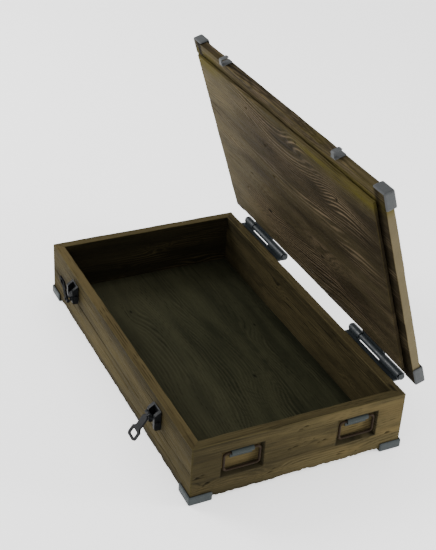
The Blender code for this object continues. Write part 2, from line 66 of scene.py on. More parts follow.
def noise(u, v, seed):
    """Smooth noise from -1 to 1 on a unit lattice, repeatable for a seed."""
    iu = np.floor(u).astype(np.int64)
    iv = np.floor(v).astype(np.int64)
    fu = u - iu
    fv = v - iv
    fu = fu * fu * (3 - 2 * fu)
    fv = fv * fv * (3 - 2 * fv)

    def corner(a, b):
        h = (a * 374761393 + b * 668265263 + seed * 974634777) & 0xFFFFFFFF
        h = ((h ^ (h >> 13)) * 1274126177) & 0xFFFFFFFF
        h = h ^ (h >> 16)
        return (h & 0xFFFFFF) / float(0xFFFFFF) * 2 - 1

    low = corner(iu, iv) * (1 - fu) + corner(iu + 1, iv) * fu
    high = corner(iu, iv + 1) * (1 - fu) + corner(iu + 1, iv + 1) * fu
    return low * (1 - fv) + high * fv


def layers(u, v, seed, count=3):
    """Several octaves of noise."""
    total = np.zeros_like(u)
    share = 1.0
    for step in range(count):
        total += noise(u * 2**step, v * 2**step, seed + 17 * step) * share
        share *= 0.5
    return total


def ramp(x, low, high):
    t = np.clip((x - low) / (high - low), 0, 1)
    return t * t * (3 - 2 * t)


# ---------------------------------------------------------------- wood

HALF_X, HALF_Y, TOP = 90.0, 52.5, 29.0      # the case's outside, in mm
INNER_X, INNER_Y = 85.0, 47.5               # its inside
EDGE = 0.45                                 # radius of a board's edges
BAND = 13.3                                 # distance between the grain's broad bands
MITRE_RUN = 10.0                            # stretch of a wall's end that is sheared to a mitre
MITRE_GAP = 0.03                            # how far its tip stays back from the corner


def grain(
    u, v, seed, knots, wave, stretch=85.0, wide=4.4, fine=1.35, swirls=(), cuts=1.0, bands=0.4,
):
    """Grain of a board, with u along it and v across it, in mm.

    Returns how deep each point is carved, from 0 to 1, a tone from -1 to 1, how close it is to
    the heart of a knot, and how far it stands up as a ridge, both from 0 to 1; the ridge also
    sets where a painted highlight lightens the wood. wave is how far the grain wanders over a
    length of stretch, wide and fine are the distances between its rings and between its
    fibres, and swirls are the places where its ridges and their painted highlight stand out.
    cuts and bands are how strong the carved rings and the broad light and dark bands are.
    """
    lines = v + wave * layers(u / stretch, v / 30, seed, 2)
    lines = lines + 0.35 * layers(u / 24, v / 5, seed + 5, 2)
    heart = np.zeros_like(u)
    for ku, kv, size, lift in knots:
        du = (u - ku) / (size * 2.4)
        dv = (v - kv) / size
        lines = lines + lift * np.exp(-(du * du + dv * dv))
        du = (u - ku) / (size * 0.30)
        dv = (v - kv) / (size * 0.13)
        heart = np.maximum(heart, np.exp(-(du * du + dv * dv)))
    jitter = 0.30 * noise(u / 15, v / 2.2, seed + 9)
    rings = np.abs(np.sin(np.pi * (lines / wide + jitter * 0.5)))
    fibres = np.abs(np.sin(np.pi * (lines / fine + jitter)))
    strength = np.clip(0.45 + 0.6 * layers(u / 42, v / 7.5, seed + 31, 2), 0, 1)
    fade = np.clip(0.55 + 0.6 * noise(u / 17, v / 1.9, seed + 37), 0, 1)
    carved = ramp(1 - rings, 0.62, 0.98) * strength * cuts
    carved = np.maximum(carved, 0.62 * ramp(1 - fibres, 0.35, 0.92) * fade)
    carved = np.clip(carved + 0.6 * ramp(heart, 0.5, 0.95), 0, 1)
    tone = 0.6 * layers(u / 110, v / 9, seed + 51, 3) + bands * np.sin(2 * np.pi * lines / BAND)
    share = 0.22 + 0.7 * layers(u / 31, v / 6, seed + 61, 2)
    for su, sv, size, lift in swirls:
        away = ((u - su) / (size * 1.7)) ** 2 + ((v - sv) / size) ** 2
        share = share + lift * np.exp(-away)
    # the ridge mask also sets where a painted highlight lightens the wood
    ridge_and_highlight = ramp(fibres, 0.76, 0.99) * np.clip(share, 0, 1)
    return carved, np.clip(tone, -1, 1), heart, ridge_and_highlight


def grid_lines(half, step, radius, extra=()):
    """Positions of the grid's lines along one axis, closer together where an edge is rounded."""
    inner = half - radius
    count = max(1, int(round(2 * inner / step)))
    lines = list(np.linspace(-inner, inner, count + 1))
    lines += [-half, half, -half + radius * 0.3, half - radius * 0.3]
    for position in extra:
        lines += [position - 0.06, position + 0.06]
    return np.array(sorted(set(np.round(lines, 4))))


def shell_grid(us, vs, ws):
    """Points and quads on the six sides of a box whose grid lines are given."""
    nu, nv, nw = len(us), len(vs), len(ws)
    index = {}
    points = []
    faces = []

    def at(i, j, k):
        key = (i, j, k)
        if key not in index:
            index[key] = len(points)
            points.append((us[i], vs[j], ws[k]))
        return index[key]

    for k, flip in ((0, True), (nw - 1, False)):
        for i in range(nu - 1):
            for j in range(nv - 1):
                quad = [at(i, j, k), at(i + 1, j, k), at(i + 1, j + 1, k), at(i, j + 1, k)]
                faces.append(quad[::-1] if flip else quad)
    for j, flip in ((0, False), (nv - 1, True)):
        for i in range(nu - 1):
            for k in range(nw - 1):
                quad = [at(i, j, k), at(i + 1, j, k), at(i + 1, j, k + 1), at(i, j, k + 1)]
                faces.append(quad[::-1] if flip else quad)
    for i, flip in ((0, True), (nu - 1, False)):
        for j in range(nv - 1):
            for k in range(nw - 1):
                quad = [at(i, j, k), at(i, j + 1, k), at(i, j + 1, k + 1), at(i, j, k + 1)]
                faces.append(quad[::-1] if flip else quad)
    return np.array(points), faces


def board(
    name, node, body, axes, seed, knots, wave, relief, shade, step=(1.1, 0.55), carve=None,
    extra_u=(), extra_v=(), material=None, ragged=None, pale_and_painted_light=None, gold=None, mitred=0,
    grow=0.0, **figure,
):
    """A solid board with carved grain that fills a CAD node's box.

    axes names the grain's direction, the direction across it and the direction through the
    board. step is the mesh's spacing along and across, and figure goes to grain. shade gives
    the share of the stain colour, which paints both real stain and painted shade; pale and
    gold give those of two lighter colours, and pale paints both paler wood and painted light.
    carve gives the depth of any deeper cuts, and ragged how far the lower edge is chipped,
    each from points in mm. mitred is the outer side of a board whose ends are cut on the
    diagonal, and grow is how far a board's edges are let into its neighbours.
    """
    low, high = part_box(node)
    low = np.array(low) * 1000
    high = np.array(high) * 1000
    turn = None
    if body == "lid":
        low, high, turn = shut_box(node)
    order = ["xyz".index(a) for a in axes]
    for axis in order[:2]:
        low[axis] -= grow
        high[axis] += grow
    if mitred:
        low[order[0]] = -(HALF_X, HALF_Y)[order[0]] + MITRE_GAP
        high[order[0]] = -low[order[0]]
    middle = (low + high) / 2
    half = (high - low) / 2
    hu, hv, hw = (half[i] for i in order)
    us = grid_lines(hu, step[0], EDGE, extra_u)
    vs = grid_lines(hv, step[1], EDGE, extra_v)
    ws = grid_lines(hw, max(step[1], hw / 4), EDGE)
    flat, faces = shell_grid(us, vs, ws)
    u, v, w = flat.T

    # edges rounded by an uneven radius
    sizes = np.array([hu, hv, hw])
    soft = EDGE * (1 + 0.45 * noise(u / 7, v / 7, seed + 71))[:, None]
    soft = np.minimum(soft, EDGE * 1.35)
    inner = np.clip(flat, -(sizes - soft), sizes - soft)
    if mitred:
        inner[:, 0] = flat[:, 0]
    out = flat - inner
    length = np.linalg.norm(out, axis=1)[:, None]
    normal = out / np.maximum(length, 1e-9)
    round_points = inner + normal * soft

    # the grain goes round the edges without a break
    across = v + 0.9 * w
    along = u + 0.15 * w
    carved, tone, heart, ridge_and_highlight = grain(along, across, seed, knots, wave, **figure)
    ends = np.abs(normal[:, 0]) > 0.8
    carved = np.where(ends, carved * 0.2, carved)
    rough = 1 + noise(u / 3.1, v / 0.9, seed + 81)
    depth = relief * (0.8 * carved + 0.35 * (1 - ridge_and_highlight) + 0.16 * rough)
    placed = round_points - normal * depth[:, None]

    # the same points and directions in the frame's axes
    facing = to_world(normal, order)
    world = np.zeros((len(flat), 3))
    for column, axis in enumerate(order):
        world[:, axis] = flat[:, column] + middle[axis]
    slant = np.zeros(len(flat))
    if mitred:
        depth_in = hw - mitred * w
        slant = np.sign(u) * depth_in * np.clip((np.abs(u) - hu + MITRE_RUN) / MITRE_RUN, 0, 1)
        world[:, order[0]] -= slant
    cut = np.zeros(len(flat)) if carve is None else carve(world, facing)
    final = np.zeros((len(flat), 3))
    for column, axis in enumerate(order):
        final[:, axis] = placed[:, column] + middle[axis]
    if ragged is not None:
        final[:, 2] += ragged(world, order[0])
    final -= facing * cut[:, None]
    worn = np.zeros(len(flat))
    if mitred:
        final[:, order[0]] -= slant
        near_end = np.clip((np.abs(u) - hu + EDGE) / EDGE, 0, 1) * (depth_in < 0.5)
        final[:, order[2]] -= mitred * 0.14 * near_end**2
        worn = np.clip((np.abs(u) - hu + 1.0) / 0.9, 0, 1) * (depth_in < 0.5) * 0.8
    # the stain share paints real stain and also painted shade
    stain_and_shade = shade(world, facing)
    # the pale share paints paler wood and also painted light
    light = np.zeros(len(flat)) if pale_and_painted_light is None else pale_and_painted_light(world, facing)
    mossy = np.zeros(len(flat)) if gold is None else gold(world, facing)

    # edges are worn where two sides meet
    bend = 1 - np.max(np.abs(normal), axis=1)
    worn = np.maximum(worn, np.clip(bend / 0.25, 0, 1) * (bend < 0.9))
    final = np.maximum(np.minimum(final, high), low)
    if turn is not None:
        final = turn(final)
    if np.linalg.det(np.eye(3)[order]) < 0:
        faces = [face[::-1] for face in faces]
    mesh = bpy.data.meshes.new(name)
    mesh.from_pydata((final / 1000).tolist(), [], faces)
    dark = np.clip(carved + np.where(cut < 1, cut * 0.95, 0.1), 0, 1)
    for label, values in (
        ("carved", dark), ("tone", tone), ("stain_and_shade", stain_and_shade), ("worn", worn),
        ("heart", heart), ("pale_and_painted_light", light), ("ridge_and_highlight", ridge_and_highlight), ("gold", mossy),
    ):
        layer = mesh.attributes.new(label, "FLOAT", "POINT")
        layer.data.foreach_set("value", values.astype(np.float32))
    layer = mesh.attributes.new("along", "FLOAT_VECTOR", "POINT")
    flow = np.stack([along, across, w], axis=1)
    layer.data.foreach_set("vector", flow.astype(np.float32).ravel())
    mesh.shade_smooth()
    piece = bpy.data.objects.new(name, mesh)
    bpy.context.scene.collection.objects.link(piece)
    mesh.materials.append(material or wood)
    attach(piece, body)
    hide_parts(node)
    return piece


def to_world(vectors, order):
    """A board's own vectors in the frame's axes."""
    turned = np.zeros_like(vectors)
    for column, axis in enumerate(order):
        turned[:, axis] = vectors[:, column]
    return turned


# The lid is described shut, in the frame's axes, and turned open about its hinge
joint = next(j for j in frame["record"]["behaviour"]["joints"] if j["name"] == "lid_hinge")
LID_AXIS = np.array(joint["pos_m"]) * 1000
LID_OPEN = -math.radians(joint["range_deg"][0])


def open_lid(points, angle=LID_OPEN):
    turned = np.array(points, float)
    dy = turned[:, 1] - LID_AXIS[1]
    dz = turned[:, 2] - LID_AXIS[2]
    turned[:, 1] = LID_AXIS[1] + dy * math.cos(angle) + dz * math.sin(angle)
    turned[:, 2] = LID_AXIS[2] - dy * math.sin(angle) + dz * math.cos(angle)
    return turned


def shut_box(node):
    """A lid node's box as if the lid were shut, and the turn that opens it."""
    mesh = frame["nodes"][node].data
    points = np.array([v.co for v in mesh.vertices]) * 1000
    shut = open_lid(points, -LID_OPEN)
    return shut.min(0), shut.max(0), open_lid


# ---------------------------------------------------------------- materials

MOSS = (0.078, 0.062, 0.0085)
GRIME = (0.004, 0.004, 0.0045)


class Nodes:
    """Short calls for making a material's nodes."""

    def __init__(self, name):
        self.material = bpy.data.materials.new(name)
        self.material.use_nodes = True
        self.tree = self.material.node_tree
        self.shader = self.tree.nodes["Principled BSDF"]

    def set(self, socket, value):
        if isinstance(value, bpy.types.NodeSocket):
            self.tree.links.new(value, socket)
        elif isinstance(value, tuple) and len(value) == 3 and socket.type == "RGBA":
            socket.default_value = (*value, 1)
        else:
            socket.default_value = value

    def node(self, kind, inputs=(), **options):
        made = self.tree.nodes.new(kind)
        for key, value in options.items():
            setattr(made, key, value)
        for key, value in dict(inputs).items():
            self.set(made.inputs[key], value)
        return made

    def attribute(self, name, output="Fac"):
        return self.node("ShaderNodeAttribute", attribute_name=name).outputs[output]

    def math(self, operation, a, b, c=0.5):
        made = self.node("ShaderNodeMath", {0: a, 1: b, 2: c}, operation=operation)
        return made.outputs[0]

    def ramp(self, value, low, high, out_low=0.0, out_high=1.0):
        made = self.node("ShaderNodeMapRange", {
            "Value": value, "From Min": low, "From Max": high,
            "To Min": out_low, "To Max": out_high,
        }, interpolation_type="SMOOTHSTEP")
        return made.outputs["Result"]

    def mix(self, share, a, b, blend="MIX"):
        made = self.node("ShaderNodeMix", data_type="RGBA", blend_type=blend)
        self.set(made.inputs["Factor"], share)
        self.set(made.inputs["A"], a)
        self.set(made.inputs["B"], b)
        return made.outputs["Result"]

    def scaled(self, vector, scale):
        made = self.node("ShaderNodeVectorMath", {0: vector, 1: scale}, operation="MULTIPLY")
        return made.outputs[0]

    def noise(self, vector, scale=1.0, detail=4.0, rough=0.55):
        made = self.node("ShaderNodeTexNoise", {
            "Vector": vector, "Scale": scale, "Detail": detail, "Roughness": rough,
        })
        return made.outputs["Fac"]

    def bump(self, height, distance, strength):
        made = self.node("ShaderNodeBump", {
            "Height": height, "Distance": distance, "Strength": strength,
        })
        return made.outputs["Normal"]

    def finish(self, colour, rough, normal=None):
        self.set(self.shader.inputs["Base Color"], colour)
        self.set(self.shader.inputs["Roughness"], rough)
        if normal is not None:
            self.set(self.shader.inputs["Normal"], normal)
        return self.material


def wood_material(
    name, light, dark, groove, edge, stain_and_shade, pale_and_painted_light, ridge_and_highlight, ridge_highlight_share=0.5, gold=MOSS,
):
    """Weathered wood, coloured by the shares that board leaves on the mesh."""
    n = Nodes(name)
    flow = n.attribute("along", "Vector")
    streaks = n.noise(n.scaled(flow, (0.05, 0.9, 0.9)), 1.0, 6.0, 0.6)
    fibres = n.noise(n.scaled(flow, (0.22, 5.0, 5.0)), 1.0, 3.0, 0.6)
    blotches = n.noise(n.scaled(flow, (0.022, 0.06, 0.06)), 1.0, 3.0, 0.55)
    tone = n.ramp(n.attribute("tone"), -0.9, 0.9)
    mixed = n.math("ADD", n.math("MULTIPLY", tone, 0.45), n.math("MULTIPLY", streaks, 0.75))
    mixed = n.math("ADD", mixed, n.math("MULTIPLY", blotches, 0.55))
    colour = n.mix(n.ramp(mixed, 0.55, 1.25), dark, light)
    fine = n.ramp(fibres, 0.30, 0.55, 0.72, 1.0)
    grey = n.node("ShaderNodeCombineColor", {0: fine, 1: fine, 2: fine}).outputs[0]
    colour = n.mix(1.0, colour, grey, "MULTIPLY")
    # painted highlight along the grain's ridges
    colour = n.mix(n.math("MULTIPLY", n.attribute("ridge_and_highlight"), ridge_highlight_share), colour, ridge_and_highlight)
    # a paler colour, partly paler wood and partly painted light
    colour = n.mix(n.attribute("pale_and_painted_light"), colour, pale_and_painted_light)
    colour = n.mix(n.attribute("gold"), colour, gold)
    rubbing = n.ramp(n.noise(n.scaled(flow, (0.1, 0.3, 0.3))), 0.3, 0.6, 0.35, 1.0)
    colour = n.mix(n.math("MULTIPLY", n.attribute("worn"), rubbing), colour, edge)
    carved = n.ramp(n.attribute("carved"), 0.12, 0.85)
    colour = n.mix(n.math("MULTIPLY", carved, 0.86), colour, groove)
    heart = n.ramp(n.attribute("heart"), 0.35, 0.9)
    colour = n.mix(n.math("MULTIPLY", heart, 0.6), colour, groove)
    # the stain colour paints real stain and painted shade, and spares the ridges' painted
    # highlight
    spared = n.math("MULTIPLY_ADD", n.attribute("ridge_and_highlight"), -0.55, 1.0)
    colour = n.mix(n.math("MULTIPLY", n.attribute("stain_and_shade"), spared), colour, stain_and_shade)
    height = n.math("ADD", n.math("MULTIPLY", fibres, 0.5), n.math("MULTIPLY", streaks, 0.5))
    normal = n.bump(height, 0.00022, 0.8)
    rough = n.ramp(streaks, 0.3, 0.7, 0.55, 0.75)
    n.shader.inputs["Specular IOR Level"].default_value = 0.015
    return n.finish(colour, rough, normal)


def metal_material(name, base, worn, rough, gloss):
    """Blackened or painted metal, rubbed lighter in patches and along its edges."""
    n = Nodes(name)
    place = n.node("ShaderNodeTexCoord").outputs["Object"]
    patches = n.noise(place, 420.0, 5.0, 0.6)
    specks = n.noise(place, 2600.0, 3.0, 0.6)
    bevel = n.node("ShaderNodeNewGeometry").outputs["Pointiness"]
    edge = n.ramp(bevel, 0.52, 0.60)
    rub = n.math("MAXIMUM", n.math("MULTIPLY", n.ramp(patches, 0.50, 0.72), 0.75), edge)
    colour = n.mix(rub, base, worn)
    colour = n.mix(n.math("MULTIPLY", n.ramp(specks, 0.56, 0.70), 0.55), colour, GRIME)
    height = n.math("ADD", n.math("MULTIPLY", specks, 0.6), n.math("MULTIPLY", patches, 0.4))
    normal = n.bump(height, 0.00008, 0.6)
    n.shader.inputs["Specular IOR Level"].default_value = gloss
    return n.finish(colour, n.ramp(patches, 0.3, 0.7, rough + 0.12, rough - 0.06), normal)


# each wood's light and dark ground, grooves, worn edges, stain colour that also paints shade, pale
# colour that also paints light, and painted ridge highlight
wood = wood_material(
    "weathered_wood", (0.067, 0.0530, 0.0240), (0.030, 0.0240, 0.0115), (0.0046, 0.0040, 0.0024),
    (0.078, 0.064, 0.0260), (0.0062, 0.0062, 0.0044), (0.118, 0.087, 0.036), (0.094, 0.074, 0.036),
)
lid_wood = wood_material(
    "lid_wood", (0.054, 0.0430, 0.0225), (0.0185, 0.0142, 0.0085), (0.0036, 0.0029, 0.0018),
    (0.064, 0.050, 0.0160), (0.0062, 0.0048, 0.0026), (0.125, 0.104, 0.060), (0.120, 0.088, 0.054),
    0.85, (0.070, 0.058, 0.0120),
)
# the floor's wood is darker and greener than the walls': partly its own colour, partly painted
# shade
tray_shaded_wood = wood_material(
    "tray_shaded_wood", (0.034, 0.0345, 0.0185), (0.0150, 0.0160, 0.0090), (0.0042, 0.0046, 0.0028),
    (0.050, 0.044, 0.0200), (0.0052, 0.0056, 0.0034), (0.082, 0.078, 0.045), (0.050, 0.048, 0.026),
)

# each metal's ground, its rubbed colour, its roughness and its gloss
METALS = {
    "cap_metal": ((0.0150, 0.0195, 0.0205), (0.036, 0.043, 0.044), 0.55, 0.16),
    # a lighter copy of the cap metal for the lid's caps and strikes: painted light
    "lid_cap_painted_light_metal": ((0.0240, 0.0270, 0.0280), (0.055, 0.058, 0.059), 0.55, 0.16),
    "dark_steel": ((0.0055, 0.0070, 0.0080), (0.016, 0.0205, 0.0230), 0.40, 0.22),
    "black_steel": ((0.0016, 0.0019, 0.0021), (0.0062, 0.0068, 0.0072), 0.38, 0.07),
    "link_steel": ((0.0050, 0.0052, 0.0058), (0.0120, 0.0125, 0.0135), 0.45, 0.08),
    # a darker, duller copy of the link steel for the far latch's link: painted shade
    "far_link_painted_shade_steel": ((0.0014, 0.0015, 0.0017), (0.0034, 0.0037, 0.0040), 0.65, 0.015),
    "bail_steel": ((0.0085, 0.0050, 0.0026), (0.026, 0.0165, 0.0088), 0.5, 0.06),
    "clip_metal": ((0.0085, 0.0120, 0.0116), (0.022, 0.028, 0.0272), 0.5, 0.14),
}
metals = {name: metal_material(name, *values) for name, values in METALS.items()}

# Metal pieces keep the CAD's shape; the wooden ones are replaced by boards below
for subpart in frame["record"]["subparts"]:
    name = subpart["node"]
    chosen = metals.get(subpart["material_slot"], wood)
    if name.endswith(("latch_link", "latch_lever")):
        # the far latch's link gets a darker, duller copy of the link steel: painted shade
        chosen = metals["far_link_painted_shade_steel" if name == "far_latch_link" else "link_steel"]
    # the lid's caps and strikes get a lighter copy of the cap metal: painted light
    if name.startswith("lid_cap") or name.endswith("strike"):
        chosen = metals["lid_cap_painted_light_metal"]
    node = frame["nodes"][name]
    if not node.material_slots:
        node.data.materials.append(chosen)
    for material_slot in node.material_slots:
        material_slot.material = chosen

# ---------------------------------------------------------------- boards

HANDLES = (-28.4, 28.4)                                 # middles of the handle pockets
POCKET_HALF, POCKET_LOW, POCKET_HIGH = 10.1, 9.8, 23.2  # half width, and heights
POCKET_DEPTH, GROOVE_DEPTH, GROOVE_HIGH = 2.6, 3.2, 12.2


def in_pocket(y, z, margin):
    """Whether a point of an end wall is in a handle pocket widened by margin."""
    beside = np.minimum(*(np.abs(y - centre) for centre in HANDLES))
    return (beside < POCKET_HALF + margin) & (z > POCKET_LOW - margin) & (z < POCKET_HIGH + margin)


def inside_shade(point, normal):
    """Stain and painted shade inside the tray: dark, with painted shade darkest in its corners and
    at its far end.
    """
    x, y, z = point.T
    inward = (np.abs(x) < INNER_X + 0.5) & (np.abs(y) < INNER_Y + 0.5) & (z < TOP - 0.3)
    corner = np.maximum(ramp(np.abs(y), 38, 47.5), ramp(np.abs(x), 70, 85)) * 0.2
    side = 0.30 + 0.12 * ramp(-x, -60, 60) + corner * (0.3 + 0.7 * ramp(10 - z, 0, 8))
    end = 0.73 + 0.1 * ramp(20 - z, 0, 20)
    return np.where(inward, np.where(np.abs(x) > INNER_X - 0.5, end, side), 0.0)


def floor_shade(point, normal):
    """Painted shade on the tray's floor: darker along its sides and towards the back and the far
    end.
    """
    x, y, z = point.T
    edge = np.maximum(ramp(np.abs(y), 41, 47.5), ramp(np.abs(x), 78, 85)) * 0.45
    return 0.04 * ramp(-x, -40, 85) + edge * 0.8 + 0.14 * ramp(y, -5, 40)


def floor_painted_light(point, normal):
    """Painted light on the tray's floor: a little lighter in front, and most of all in its far
    front part.
    """
    x, y, z = point.T
    return 0.26 * ramp(-y, -8, 36) + 0.14 * ramp(-x, 20, 75)


def wall_shade(point, normal):
    """Stain and painted shade on the walls: darker low down, painted shade towards the near front
    corner, on the tops by the near end and in the pockets.
    """
    x, y, z = point.T
    outside = 0.25 * ramp(3 - z, -2, 3) + 0.06 * noise(x / 20, z / 9, 3)
    # painted shade over the front face, deeper towards the near end
    front = ramp(-normal[:, 1], 0.5, 0.9)
    outside = outside + front * (0.07 + 0.20 * ramp(x, -60, 60) + 0.12 * noise(x / 26, z / 7, 5))
    # painted shade over the near end's outer face, deeper towards the front
    near = ramp(normal[:, 0], 0.5, 0.9) * (x > 0)
    outside = outside + near * (0.50 * ramp(-y, -12, 45) + 0.10 * noise(y / 17, z / 7, 7))
    # painted shade on the tops by the near end
    outside = outside + 0.20 * ramp(normal[:, 2], 0.5, 0.9) * (x > INNER_X - 5)
    # painted shadow in the handle pockets: a dark outline round each, and deeper shade in the
    # grooves and towards the front
    pocket = in_pocket(y, z, 0.3)
    deep = 0.12 * ramp(-y, 0, 45) + 0.30 * (z < GROOVE_HIGH)
    deep = np.where(in_pocket(y, z, -0.4), deep, 0.62)
    outside = np.where(pocket & (np.abs(x) > HALF_X - 0.6), deep, outside)
    return np.clip(np.maximum(inside_shade(point, normal), outside), 0, 1)


def end_patches_and_painted_light(point, normal):
    """Warm patches on the near end's outer face, with painted light making them stronger towards
    the back, and painted light on the pocket floors above the grooves.
    """
    x, y, z = point.T
    face = ramp(np.abs(normal[:, 0]), 0.5, 0.9) * (np.abs(x) > HALF_X - 4)
    patch = ramp(layers(y / 15, z / 5, 441, 3), -0.3, 1.1)
    share = patch * (0.12 + 0.50 * ramp(y, -15, 48) * (1.15 - 0.55 * ramp(z, 6, 14)))
    share = np.where(in_pocket(y, z, 0.3), 0.0, share)
    return face * np.where(in_pocket(y, z, -0.4) & (z > GROOVE_HIGH), 0.40, share)


def top_painted_light(point, normal):
    """Painted light on the front wall's top edge, most of all towards the far end."""
    return ramp(normal[:, 2], 0.6, 0.95) * (0.16 + 0.20 * ramp(-point[:, 0], -50, 40))


def along_noise(run, reach, seed):
    """Smooth noise that changes along a board only, over a distance of reach."""
    return noise(run / reach, run * 0, seed)


def line_at(z, height, width):
    """How near points are to a line at some height, from 0 to 1."""
    return np.exp(-((z - height) / width) ** 2)


def front_carve(point, normal):
    """The seam between the front wall's two planks, and rough lines near its bottom."""
    x, y, z = point.T
    seam = line_at(z, 14.0 + 0.8 * along_noise(x, 30, 401), 0.30)
    seam = seam * (0.35 + 0.65 * ramp(along_noise(x, 16, 402), -0.4, 0.3))
    split = line_at(z, 5.2 + along_noise(x, 22, 403), 0.35)
    split = split * ramp(along_noise(x, 24, 404), -0.1, 0.4)
    rough = line_at(z, 9.6 + 0.9 * along_noise(x, 18, 405), 0.3)
    rough = rough * ramp(along_noise(x, 14, 406), 0.0, 0.5)
    return np.clip(-normal[:, 1], 0, 1) * (0.75 * seam + 0.65 * split + 0.5 * rough)


def back_carve(point, normal):
    """The seam between the back wall's two planks."""
    x, y, z = point.T
    seam = line_at(z, 14.0 + 0.6 * along_noise(x, 28, 411), 0.30)
    seam = seam * (0.4 + 0.6 * ramp(along_noise(x, 15, 412), -0.4, 0.3))
    return np.clip(normal[:, 1], 0, 1) * 0.6 * seam


def ragged_bottom(point, length_axis):
    """How far chips along a wall's lower edge reach up."""
    run = point[:, length_axis]
    chip = ramp(along_noise(run, 2.6, 421), 0.05, 0.7)
    chip = chip + 0.8 * ramp(along_noise(run, 1.2, 422), 0.1, 0.7)
    return 0.42 * chip * ramp(3.2 - point[:, 2], 0, 3.2)


DENTS = (           # distance across, height and length of the end walls' dents
    (-0.6, 24.4, 1.2), (2.0, 25.2, 1.5), (-2.4, 15.3, 1.5), (-5.4, 14.7, 1.0),
    (9.4, 14.0, 1.2), (12.4, 14.8, 1.6), (-49.4, 12.8, 1.0), (-47.0, 13.4, 1.2),
    (-44.6, 8.6, 1.4), (-14.0, 4.6, 1.5), (20.5, 3.8, 1.4), (45.5, 9.0, 1.2),
)


def end_carve(point, normal):
    """The handle pockets, the grooves below the bails, and cracks in the end wall."""
    x, y, z = point.T
    outward = np.abs(normal[:, 0]) * (np.abs(x) > HALF_X - 0.6)
    depth = np.zeros(len(x))
    for centre in HANDLES:
        inside = (np.abs(y - centre) < POCKET_HALF) & (z > POCKET_LOW) & (z < POCKET_HIGH)
        deep = inside & (z < GROOVE_HIGH)
        depth = np.where(inside, POCKET_DEPTH, depth)
        depth = np.where(deep, GROOVE_DEPTH, depth)
    crack = line_at(z, 16.5 + 1.6 * along_noise(y, 20, 431) + 0.06 * y, 0.28)
    crack = crack * ramp(along_noise(y, 13, 432), 0.05, 0.5)
    dents = np.zeros(len(x))
    for dy, dz, reach in DENTS:
        bend = 0.25 * np.abs(y - dy)
        away = ((y - dy) / reach) ** 2 + ((z - dz + bend) / 0.38) ** 2
        dents = np.maximum(dents, np.exp(-away))
    low_crack = line_at(z, 5.4 + along_noise(y, 16, 433), 0.26)
    low_crack = low_crack * ramp(along_noise(y, 12, 434), 0.0, 0.5)
    shallow = np.maximum(0.22 * crack + 0.28 * low_crack, 0.80 * dents)
    return outward * np.where(depth > 0, depth, shallow)


pocket_v = tuple(height - TOP / 2 for height in (POCKET_LOW, POCKET_HIGH, GROOVE_HIGH))
pocket_u = tuple(c + s * POCKET_HALF for c in HANDLES for s in (-1, 1))

board(
    "floor_wood", "bottom_board", "case", "xyz", 11,
    knots=((-52, -22, 7, 5), (22, 14, 8, -4), (-18, 34, 6, -4)),
    wave=6.0, relief=0.20, shade=floor_shade, pale_and_painted_light=floor_painted_light, material=tray_shaded_wood, step=(1.1, 0.5),
    grow=0.9, wide=6.5, fine=1.5, cuts=0.42, bands=0.3,
    swirls=((-50, -18, 13, 0.5), (-8, -22, 12, 0.6), (38, -12, 14, 0.7), (30, 26, 12, 0.4)),
)
board(
    "front_wall_wood", "front_wall", "case", "xzy", 23,
    knots=((-6, 5, 2.4, 2), (38, -4, 2.2, -2)), wave=1.5, relief=0.30, shade=wall_shade,
    carve=front_carve, ragged=ragged_bottom, pale_and_painted_light=top_painted_light, step=(0.9, 0.4), mitred=-1,
    wide=3.4, fine=1.15, cuts=0.85, swirls=((50, -8, 9, 0.7), (-15, -8, 8, 0.5)),
)
board(
    "back_wall_wood", "back_wall", "case", "xzy", 37,
    knots=((-24, 2, 3, 3), (49, -5, 2.5, -3)), wave=1.5, relief=0.24, shade=wall_shade,
    carve=back_carve, ragged=ragged_bottom, mitred=1, wide=3.6, fine=1.25,
)
for end, seed, outer in (("near", 41, 1), ("far", 47, -1)):
    board(
        end + "_end_wood", end + "_end_wall", "case", "yzx", seed,
        knots=((-12, -6, 3.0, 3), (7, 5, 2.6, -3), (-46, -5, 2.6, 3), (30, -9, 3, 2)),
        wave=2.4, relief=0.22, shade=wall_shade, carve=end_carve, ragged=ragged_bottom,
        extra_u=pocket_u, extra_v=pocket_v, pale_and_painted_light=end_patches_and_painted_light, step=(0.8, 0.45), mitred=outer,
        stretch=60, wide=4.2, fine=1.4, cuts=0.35, bands=0.3,
    )


# The lid's functions see it shut, so its inner side faces down

PANEL_X, PANEL_Y = 84.7, 47.2       # the raised panel's half length and width


def lid_shade(point, normal):
    """Painted shade on the panel: darker towards the near end and the hinges, and darkest on its
    end.
    """
    x, y, z = point.T
    inner = normal[:, 2] < -0.5
    value = ramp(x, -60, 35) * 0.32 + ramp(y, -25, 45) * 0.10 + 0.12 * noise(x / 25, y / 9, 9)
    return np.where(inner, value, 0.05 + 0.42 * ramp(normal[:, 0], 0.4, 0.9))


def rim_shade(point, normal):
    """A painted shadow line beside the inner panel, and a dark strip along the lid's near end,
    with painted shade growing towards that end.
    """
    x, y, z = point.T
    inner = normal[:, 2] < -0.5
    beside = ramp(0.8 - np.abs(np.abs(y) - PANEL_Y), 0, 0.8) * (np.abs(x) < INNER_X) * 0.3
    beside = np.maximum(beside, ramp(2.5 - np.abs(np.abs(x) - PANEL_X), 0, 1.2) * 0.97)
    strip = np.maximum(ramp(x, 84, 86) * 0.72, 0.16 * ramp(x, 25, 70))
    return np.where(inner, np.maximum(beside, strip), 0.03)


def end_pale_and_painted_light(point, normal):
    """The lid's ends are bare, and painted light makes the rim beside its panel lighter towards
    the far end.
    """
    x = point[:, 0]
    rim = ramp(-normal[:, 2], 0.5, 0.9) * ramp(-x, 15, 70) * (np.abs(x) < 84) * 0.24
    return np.maximum(ramp(np.abs(normal[:, 0]), 0.7, 0.95) * 0.75, rim)


